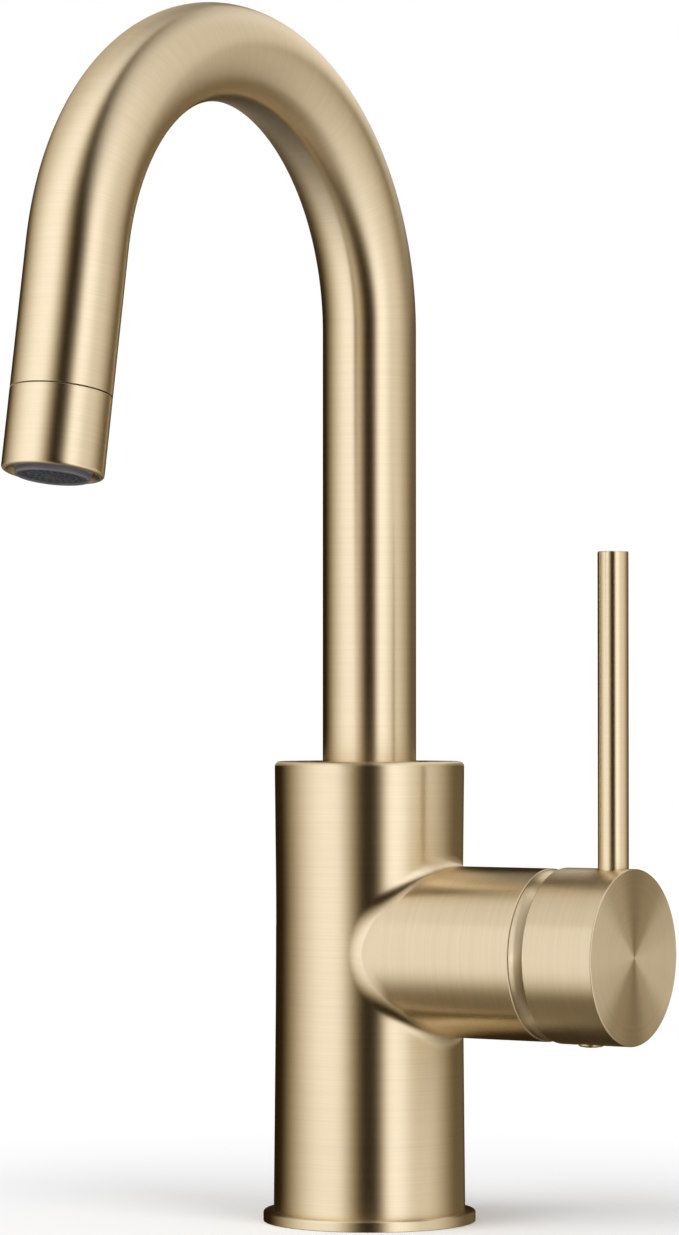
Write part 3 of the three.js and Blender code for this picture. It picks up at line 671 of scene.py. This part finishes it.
# ---- Spout tube --------------------------------------------------------------------------------
# Round tube bent to a gooseneck on a mandrel, then brushed round its own line. Its foot runs
# through the collar into the body, and its end carries the outlet.
tube_radius = 0.0125
tube_wall = 0.0012
tube_foot = 0.1108
bend_start = 0.2372
bend_radius = 0.0664
bend_angle = math.radians(170)
end_length = 0.0369
tube_sides = 96
bend_steps = 132
bend_centre = Vector((0, -bend_radius, bend_start))
bend_end_out = Vector((0, math.cos(bend_angle), math.sin(bend_angle)))
spout_line = Vector((0, -math.sin(bend_angle), math.cos(bend_angle)))


def along_the_tube(point):
    """The distance along the tube's line from the deck."""
    out = point - bend_centre
    if out.z < 0 and out.y > 0:
        return point.z
    beyond = out.dot(spout_line)
    if beyond > 0 and out.y < 0:
        return bend_start + bend_radius * bend_angle + beyond
    return bend_start + bend_radius * math.atan2(out.z, out.y)


def round_the_tube(finish):
    """Grooves that run round the tube's own line."""
    x, y, _ = finish.place()
    return x, y, finish.signal("ShaderNodeAttribute", "Fac", {"attribute_name": "along"})


def spout_tube():
    bm = bmesh.new()
    foot = Matrix.Translation((0, 0, tube_foot))
    for radius in (tube_radius, tube_radius - tube_wall):
        bmesh.ops.create_circle(bm, segments=tube_sides, radius=radius, matrix=foot)
    bmesh.ops.bridge_loops(bm, edges=bm.edges)
    loops = [edge for edge in bm.edges if edge.is_boundary]

    def carried_on(made):
        return [part for part in made if isinstance(part, bmesh.types.BMEdge)]

    def straight_on(loops, step, count):
        for _ in range(count):
            made = bmesh.ops.extrude_edge_only(bm, edges=loops)["geom"]
            verts = [part for part in made if isinstance(part, bmesh.types.BMVert)]
            bmesh.ops.translate(bm, verts=verts, vec=step / count)
            loops = carried_on(made)
        return loops

    loops = straight_on(loops, Vector((0, 0, bend_start - tube_foot)), 24)
    bend = {"axis": (1, 0, 0), "cent": bend_centre, "angle": bend_angle}
    made = bmesh.ops.spin(bm, geom=loops, **bend, steps=bend_steps)["geom_last"]
    loops = straight_on(carried_on(made), spout_line * end_length, 8)
    bmesh.ops.bridge_loops(bm, edges=loops)
    bmesh.ops.recalc_face_normals(bm, faces=bm.faces)
    along = bm.verts.layers.float.new("along")
    for vert in bm.verts:
        vert[along] = along_the_tube(vert.co)
    material = brushed_gold("brushed_gold_tube", round_the_tube)
    return finished(bm, "gooseneck", "spout", material, "spout_tube")


brush_direction(spout_tube(), (1, 0))


# ---- Spout collar ------------------------------------------------------------------------------
# A thin ring in the same brushed gold, threaded outside and screwed in flush with the body's top.
# It keeps the spout down and lets it turn.
collar_profile = [
    (tube_radius + clearance, body_top - collar_height),
    (collar_radius, body_top - collar_height),
    (collar_radius, body_top, 0.0003),
    (tube_radius + clearance, body_top, 0.0002),
]
collar = finished(
    spun(collar_profile), "collar_turned", "faucet_body", ring_gold, "spout_collar"
)
brush_round(collar)


# ---- Outlet sleeve and aerator -----------------------------------------------------------------
# The last 20 mm of the spout is a turned sleeve that screws on and leaves a hairline seam. A grey
# moulded aerator, with a dark slotted insert, stands a millimetre proud of its rolled lip.
sleeve_length = 0.020
sleeve_bore = 0.0100
thread_bore = tube_radius - tube_wall
sleeve_shoulder = 0.0109
outlet_end = bend_centre + bend_end_out * bend_radius + spout_line * end_length
outlet_place = Matrix.Translation(outlet_end) @ Matrix.Rotation(bend_angle, 4, "X")

sleeve_profile = [
    (thread_bore, clearance),
    (tube_radius, clearance, 0.00015),
    (tube_radius, sleeve_length, 0.0007),
    (sleeve_bore + 0.0014, sleeve_length, 0.0001),
    (sleeve_bore, sleeve_length - 0.0012),
    (sleeve_bore, sleeve_shoulder),
    (thread_bore, sleeve_shoulder),
]


def round_the_sleeve(finish):
    """Grooves that run round the sleeve's tilted axis."""
    x, y, z = finish.place()
    up = (outlet_end.y - y) * spout_line.y + (outlet_end.z - z) * spout_line.z
    return x, y, up


sleeve_gold = brushed_gold("brushed_gold_sleeve", round_the_sleeve)
sleeve = finished(
    spun(sleeve_profile, tube_sides),
    "sleeve_turned",
    "spout",
    sleeve_gold,
    "outlet_sleeve",
    outlet_place,
)
brush_direction(sleeve, (1, 0))

seal_start = 0.0073
seal_height = 0.0015
flange_start = seal_start + seal_height + clearance
flange_end = flange_start + 0.0015
aerator_radius = 0.0097
aerator_nose = 0.0092
aerator_bore = 0.0077
aerator_end = sleeve_length + 0.001
face_radius = 0.0081
face_place = aerator_end - 0.0004
face_thickness = 0.002
slot_rings = [(0.0062, 0.0073, 24), (0.0044, 0.0055, 18), (0.0026, 0.0037, 12)]
slot_depth = 0.0016
slot_share = 0.62
button_radius = 0.0018
button_height = 0.0003

aerator_grey = (0.135, 0.13, 0.145)
insert_grey = (0.07, 0.07, 0.075)
white_acetal = (0.80, 0.79, 0.76)
bare_brass = (0.74, 0.60, 0.33)
bare_steel = (0.60, 0.61, 0.62)
spark_size = 0.00035


def moulded(name, colour, roughness=0.42):
    """Moulded plastic: one colour, faint flow marks and the mould's fine spark texture."""
    finish = Finish(bpy.data.materials.new(name))
    x, y, z = finish.place()
    flow = finish.noise(finish.point(x, y, z), 160, 3)
    spark = finish.noise(finish.point(x, y, z), 1 / spark_size, 2)
    bump = {"Strength": 0.25, "Distance": 0.00003, "Height": spark}
    inputs = {
        "Base Color": finish.blend(flow.ramp(0.3, 0.7), shade(colour, 0.9), shade(colour, 1.08)),
        "Roughness": roughness + (flow - 0.5) * 0.16 + (spark - 0.5) * 0.06,
        "Normal": finish.signal("ShaderNodeBump", "Normal", inputs=bump),
    }
    return finish.surface(finish.signal("ShaderNodeBsdfPrincipled", inputs=inputs))


def soft_rubber(name, colour=(0.028, 0.028, 0.03)):
    """Black rubber, dull, with a dusty bloom on it."""
    finish = Finish(bpy.data.materials.new(name))
    x, y, z = finish.place()
    bloom = finish.noise(finish.point(x, y, z), 220, 4, 0.6)
    skin = finish.noise(finish.point(x, y, z), 3500, 2)
    bump = {"Strength": 0.35, "Distance": 0.00004, "Height": skin}
    inputs = {
        "Base Color": finish.blend(bloom.ramp(0.35, 0.8), shade(colour, 1), shade(colour, 1.7)),
        "Roughness": 0.7 + (bloom - 0.5) * 0.25,
        "Normal": finish.signal("ShaderNodeBump", "Normal", inputs=bump),
    }
    return finish.surface(finish.signal("ShaderNodeBsdfPrincipled", inputs=inputs))


def turned_metal(name, colour, slow_and_grain, roughness=0.3, thread=None):
    """Bare turned metal: fine tool lines round the axis, stains, and a thread where it has one."""
    finish = Finish(bpy.data.materials.new(name))
    slow_a, slow_b, grain = slow_and_grain(finish)
    tool = finish.noise(finish.point(slow_a * 4, slow_b * 4, grain * 9000), 1, 2)
    stain = finish.noise(finish.point(slow_a, slow_b, grain), 130, 4, 0.6)
    normal = {"Strength": 0.2, "Distance": 0.00003, "Height": tool}
    if thread:
        cut = {"Strength": 0.8, "Distance": 0.0006, "Height": thread(finish)}
        normal["Normal"] = finish.signal("ShaderNodeBump", "Normal", inputs=cut)
    inputs = {
        "Base Color": finish.blend(stain.ramp(0.3, 0.75), shade(colour, 1.04), shade(colour, 0.86)),
        "Metallic": 1,
        "Roughness": roughness + (stain - 0.5) * 0.16 + (tool - 0.5) * 0.08,
        "Normal": finish.signal("ShaderNodeBump", "Normal", inputs=normal),
    }
    return finish.surface(finish.signal("ShaderNodeBsdfPrincipled", inputs=inputs))


def carried_over(material, *names):
    """Gives CAD pieces that keep their shape their finish."""
    for name in names:
        for part in nodes[name].material_slots:
            part.material = material


def aerator_housing():
    corners = [
        (aerator_bore, flange_start),
        (thread_bore - clearance, flange_start, 0.0002),
        (thread_bore - clearance, flange_end, 0.0002),
        (aerator_radius, flange_end),
        (aerator_radius, sleeve_length - 0.001, 0.0002),
        (aerator_nose, sleeve_length - 0.0005, 0.0002),
        (aerator_nose, aerator_end, 0.0004),
        (face_radius + 0.0003, aerator_end, 0.0002),
        (face_radius + 0.0001, face_place - face_thickness),
        (aerator_bore, face_place - face_thickness),
    ]
    return spun(corners, 96)


def slotted_face():
    """A round plate with rings of slots pressed into its face, and a low button in the middle."""
    edge = 0.0002
    radii = {face_radius - edge, button_radius, button_radius * 2 / 3}
    radii |= {radius for inner, outer, _ in slot_rings for radius in (inner, outer)}
    back = face_place - face_thickness
    front = [(radius, face_place) for radius in sorted(radii, reverse=True)]
    side = [(face_radius, back), (face_radius, face_place - edge)]
    bm = spun([(0, back), *side, *front, (0, face_place)], 144, closed=False)

    def in_ring(face, inner, outer, count):
        middle = face.calc_center_median()
        turn = math.atan2(middle.y, middle.x) / (2 * math.pi) * count % 1
        return face.normal.z > 0.9 and inner < middle.xy.length < outer and turn < slot_share

    def moved(faces, step):
        made = bmesh.ops.extrude_face_region(bm, geom=faces)["geom"]
        verts = [part for part in made if isinstance(part, bmesh.types.BMVert)]
        bmesh.ops.translate(bm, verts=verts, vec=(0, 0, step))
        bmesh.ops.delete(bm, geom=faces, context="FACES_ONLY")

    for inner, outer, count in slot_rings:
        moved([face for face in bm.faces if in_ring(face, inner, outer, count)], -slot_depth)
    moved([face for face in bm.faces if in_ring(face, 0, button_radius, 0)], button_height)
    bmesh.ops.recalc_face_normals(bm, faces=bm.faces)
    return bm


finished(
    aerator_housing(),
    "aerator_moulded",
    "spout",
    moulded("grey_nylon", aerator_grey),
    "aerator_housing",
    outlet_place,
)
finished(
    slotted_face(),
    "insert_slotted",
    "spout",
    moulded("dark_nylon", insert_grey, 0.48),
    "outlet_insert",
    outlet_place,
)
carried_over(soft_rubber("aerator_rubber"), "aerator_seal")
carried_over(moulded("core_acetal", white_acetal), "aerator_core")
carried_over(turned_metal("nipple_brass", bare_brass, round_the_sleeve), "outlet_nipple")
carried_over(turned_metal("screen_steel", bare_steel, round_the_sleeve, 0.26), "aerator_screen")


# ---- Dome ring ---------------------------------------------------------------------------------
# A turned ring screwed on the branch's end over the cartridge nut. Its short land meets the branch
# and its dome is a ball about the lever's pivot, so that the hub tilts over it at one close gap.
pivot_place = 0.0514
dome_radius = 0.0231
dome_land = 0.0223
dome_front = 0.011
dome_opening = 0.0148
dome_spigot = 0.0189
dome_seam = 0.0001
nut_top = 0.0544
side_place = Matrix.Translation((0, 0, branch_height)) @ Matrix.Rotation(math.pi, 4, (1, 0, 1))


def ball_points(radius, start, end, steps):
    """Profile points on a ball about the lever's pivot, between two angles from its level line."""
    angles = [start + (end - start) * i / steps for i in range(steps + 1)]
    return [(radius * math.cos(a), pivot_place + radius * math.sin(a)) for a in angles]


land_angle = math.acos(dome_land / dome_radius)
front_angle = math.asin(dome_front / dome_radius)
dome_profile = [
    (dome_opening, nut_top + clearance),
    (dome_spigot, nut_top + clearance),
    (dome_spigot, branch_end + dome_seam),
    (dome_land, branch_end + dome_seam, 0.0002),
    *ball_points(dome_radius, land_angle, front_angle, 14),
    (dome_opening, pivot_place + dome_front),
]
side_gold = brushed_gold("brushed_gold_side", round_the_branch)
dome = finished(
    spun(dome_profile, 144),
    "dome_turned",
    "faucet_body",
    side_gold,
    "dome_ring",
    side_place,
)
brush_direction(dome, (0, 1))


# ---- Handle hub --------------------------------------------------------------------------------
# A turned cap, hollow at the back where it swings over the dome, brushed round its side and in
# circles on its face. It is drilled across for the lever rod above and its set screw below.
hub_radius = 0.02285
hub_rim = 0.0604
hub_face = 0.0807
hub_hollow = 0.02355
hub_hollow_depth = 0.0182
boss_radius = 0.009
boss_start = 0.0126
stem_socket = 0.0082
socket_depth = 0.013
rod_radius = 0.004
rod_place = 0.0746
rod_seat = 0.0185
rod_spigot_radius = 0.0025
rod_spigot_end = 0.010
plug_place = 0.068
plug_radius = 0.0034
set_screw_radius = 0.0024
lowest_side_row = hub_rim + 0.0006
side_row_step = 0.0004
widest_face_ring = 0.0223
face_ring_step = 0.0009


def hub_blank():
    """The cap before it is drilled, with close rows on its side and face for the cuts to meet."""
    hollow = ball_points(
        hub_hollow,
        math.asin((hub_rim - pivot_place) / hub_hollow),
        math.asin(hub_hollow_depth / hub_hollow),
        14,
    )
    corners = [
        (0, pivot_place + boss_start),
        (boss_radius, pivot_place + boss_start),
        (boss_radius, pivot_place + hub_hollow_depth),
        *reversed(hollow),
        (hub_radius, hub_rim, 0.0003),
        *((hub_radius, lowest_side_row + side_row_step * i) for i in range(48)),
        (hub_radius, hub_face, 0.0003),
        *((widest_face_ring - face_ring_step * i, hub_face) for i in range(24)),
        (0, hub_face),
    ]
    return spun(corners, 144)


def drill(radius, place, start, end, up=True):
    """A round cutter square to the branch's axis, in the side's frame."""
    bm = spun([(0, start), (radius, start), (radius, end), (0, end)], 48)
    turn = Matrix.Rotation(math.pi / 2 * (1 if up else -1), 4, "Y")
    bmesh.ops.transform(bm, matrix=Matrix.Translation((0, 0, place)) @ turn, verts=bm.verts)
    return bm


def cut_out(made, cutters):
    """Cuts the shapes out of an object and drops the cutters."""
    for bm in cutters:
        mesh = bpy.data.meshes.new("cutter")
        bm.to_mesh(mesh)
        bm.free()
        cutter = bpy.data.objects.new("cutter", mesh)
        bpy.context.scene.collection.objects.link(cutter)
        made.modifiers.new("cut", "BOOLEAN").object = cutter
        with bpy.context.temp_override(object=made, active_object=made):
            bpy.ops.object.modifier_apply(modifier="cut")
        bpy.data.objects.remove(cutter)
        bpy.data.meshes.remove(mesh)
    return made


def hub_cutters():
    """The stem's square socket, the rod's seat and spigot hole, and the set screw's and plug's."""
    gap = clearance
    past = 0.001
    socket = bmesh.new()
    middle = pivot_place + boss_start + (socket_depth - past) / 2
    size = Matrix.Diagonal((stem_socket, stem_socket, socket_depth + past, 1))
    bmesh.ops.create_cube(socket, size=1, matrix=Matrix.Translation((0, 0, middle)) @ size)
    made = [
        socket,
        drill(rod_radius + gap, rod_place, rod_seat, hub_radius + past),
        drill(rod_spigot_radius + gap, rod_place, rod_spigot_end - gap, rod_seat + past),
        drill(set_screw_radius + gap, plug_place, 0, boss_radius + past, up=False),
        drill(plug_radius + gap, plug_place, boss_radius + past, hub_radius + past, up=False),
    ]
    for bm in made:
        bmesh.ops.transform(bm, matrix=side_place, verts=bm.verts)
    return made


def cap_face_gold():
    """Brushed in circles round the axis, so the highlights stretch out from the middle. Coats that
    are stretched in different ways take over from each other round the face."""
    finish = Finish(bpy.data.materials.new("brushed_gold_cap_face"))
    _, y, z = finish.place()
    up = z - branch_height
    ways = 6
    lines, uneven = brush_lines(finish, y, up, (y * y + up * up) ** 0.5)
    turns = [way / ways / 2 for way in range(ways)]
    coats = gold_coats(finish, lines, uneven, turns, roughness=0.42, stretch=0.97)
    turn = finish.maths("ARCTAN2", up, y)
    share = finish.maths("FLOORED_MODULO", turn, math.pi) / (math.pi / ways)
    face = coats[0]
    for way, coat in enumerate(coats[1:] + coats[:1]):
        face = finish.layer(share.ramp(way, way + 1), face, coat)
    return finish.surface(face)


hub = finished(hub_blank(), "hub_turned", "handle", side_gold, "handle_hub", side_place)
hub.data.materials.append(cap_face_gold())
for face in hub.data.polygons:
    on_face = abs(face.center.x - hub_face) < 1e-5
    face.material_index = int(on_face)
brush_direction(cut_out(hub, hub_cutters()), (0, 1))


# ---- Lever rod ---------------------------------------------------------------------------------
# A plain turned rod, brushed round, that stands up from the hub. Its spigot goes down into the
# hub, and its flat top has a broken edge.
rod_top = 0.177
rod_top_ring = 0.0033
rod_profile = [
    (0, branch_height + rod_spigot_end),
    (rod_spigot_radius, branch_height + rod_spigot_end),
    (rod_spigot_radius, branch_height + rod_seat + clearance),
    (rod_radius, branch_height + rod_seat + clearance),
    (rod_radius, rod_top, 0.0003),
    (rod_top_ring, rod_top),
    (0, rod_top),
]


def round_the_rod(finish):
    """Grooves that run round the rod's axis, on its flat top too."""
    x, y, z = finish.place()
    from_axis = ((x - rod_place) * (x - rod_place) + y * y) ** 0.5
    return x, y, z + from_axis


rod_gold = brushed_gold("brushed_gold_rod", round_the_rod)
rod_axis = Matrix.Translation((rod_place, 0, 0))
rod = finished(
    spun(rod_profile, 64), "rod_turned", "handle", rod_gold, "lever_rod", rod_axis
)
brush_round(rod, (rod_place, 0))


# ---- Screw plug --------------------------------------------------------------------------------
# A small turned cap with a low dome, in the same brushed gold. It is pressed into the hub's
# underside and hides the set screw.
plug_proud = 0.0006
plug_depth = 0.0034
plug_end = hub_radius + plug_proud
plug_profile = [
    (0, hub_radius - plug_depth),
    (plug_radius, hub_radius - plug_depth),
    (plug_radius, hub_radius, 0.0002),
    (plug_radius - 0.0005, plug_end - 0.0002, 0.0002),
    (plug_radius / 2, plug_end),
    (0, plug_end),
]
plug_turn = Matrix.Translation((0, 0, plug_place)) @ Matrix.Rotation(-math.pi / 2, 4, "Y")
finished(
    spun(plug_profile, 48),
    "plug_turned",
    "handle",
    side_gold,
    "screw_plug",
    side_place @ plug_turn,
)


# ---- Under the deck ----------------------------------------------------------------------------
# A brass shank screws up into the body. A rubber and a steel washer and a six-sided brass nut clamp
# the deck from below, two steel screws in the nut tighten it, and a rubber gasket seals the top.
thread_pitch = 0.0015
thread_root = 0.0150
thread_crest = 0.0156


def shank_thread(finish):
    """A right-hand thread, cut on the outside of the shank only."""
    x, y, z = finish.place()
    climb = z / thread_pitch - finish.maths("ARCTAN2", y, x) / (2 * math.pi)
    ridge = finish.maths("PINGPONG", climb, 0.5) * 2
    return ridge * ((x * x + y * y) ** 0.5).ramp(thread_root, thread_crest)


shank_brass = turned_metal("threaded_brass", bare_brass, round_the_barrel, thread=shank_thread)
carried_over(shank_brass, "threaded_shank")
carried_over(turned_metal("nut_brass", bare_brass, round_the_barrel, 0.34), "mounting_nut")
deck_steel = turned_metal("washer_steel", bare_steel, round_the_barrel, 0.32)
carried_over(deck_steel, "steel_washer", "jack_screw_left", "jack_screw_right")
carried_over(soft_rubber("washer_rubber"), "rubber_washer", "base_gasket")


# ---- Spout bearing -----------------------------------------------------------------------------
# A turned brass adapter is soldered into the tube's foot. Two O-rings seal it in the body's bore,
# and it turns between two white acetal washers.
carried_over(turned_metal("adapter_brass", bare_brass, round_the_barrel, 0.24), "spout_adapter")
carried_over(soft_rubber("o_ring_rubber", (0.02, 0.02, 0.021)), "spout_o_ring_1", "spout_o_ring_2")
carried_over(moulded("washer_acetal", white_acetal, 0.36), "spout_thrust_washer", "slip_washer")


# ---- Mixing cartridge --------------------------------------------------------------------------
# White acetal parts hold two lapped alumina discs under a brass nut. A brass stem with a ball end
# tilts on a steel pin in a dark carrier that turns, and drives the upper disc.
alumina = (0.78, 0.75, 0.69)


def lapped_alumina():
    """Fired ceramic, faintly speckled, lapped almost to a mirror."""
    finish = Finish(bpy.data.materials.new("lapped_alumina"))
    x, y, z = finish.place()
    speckle = finish.noise(finish.point(x, y, z), 2600, 3)
    cloud = finish.noise(finish.point(x, y, z), 180, 2)
    speckles = speckle.ramp(0.35, 0.7)
    inputs = {
        "Base Color": finish.blend(speckles, shade(alumina, 0.93), shade(alumina, 1.05)),
        "Roughness": 0.14 + (cloud - 0.5) * 0.08,
        "Specular IOR Level": 0.65,
    }
    return finish.surface(finish.signal("ShaderNodeBsdfPrincipled", inputs=inputs))


cartridge_acetal = moulded("cartridge_acetal", white_acetal, 0.38)
carried_over(cartridge_acetal, "cartridge_base", "cartridge_housing", "disc_driver")
carried_over(moulded("carrier_nylon", insert_grey, 0.4), "cartridge_carrier")
carried_over(lapped_alumina(), "fixed_disc", "sliding_disc")
port_rubber = soft_rubber("port_rubber", (0.024, 0.024, 0.025))
carried_over(port_rubber, "cold_port_seal", "hot_port_seal", "mixed_port_seal")
cartridge_brass = turned_metal("cartridge_brass", bare_brass, round_the_branch, 0.28)
carried_over(cartridge_brass, "cartridge_nut", "lever_stem")
pin_steel = turned_metal("pin_steel", bare_steel, round_the_branch, 0.22)
carried_over(pin_steel, "pivot_pin", "handle_set_screw")
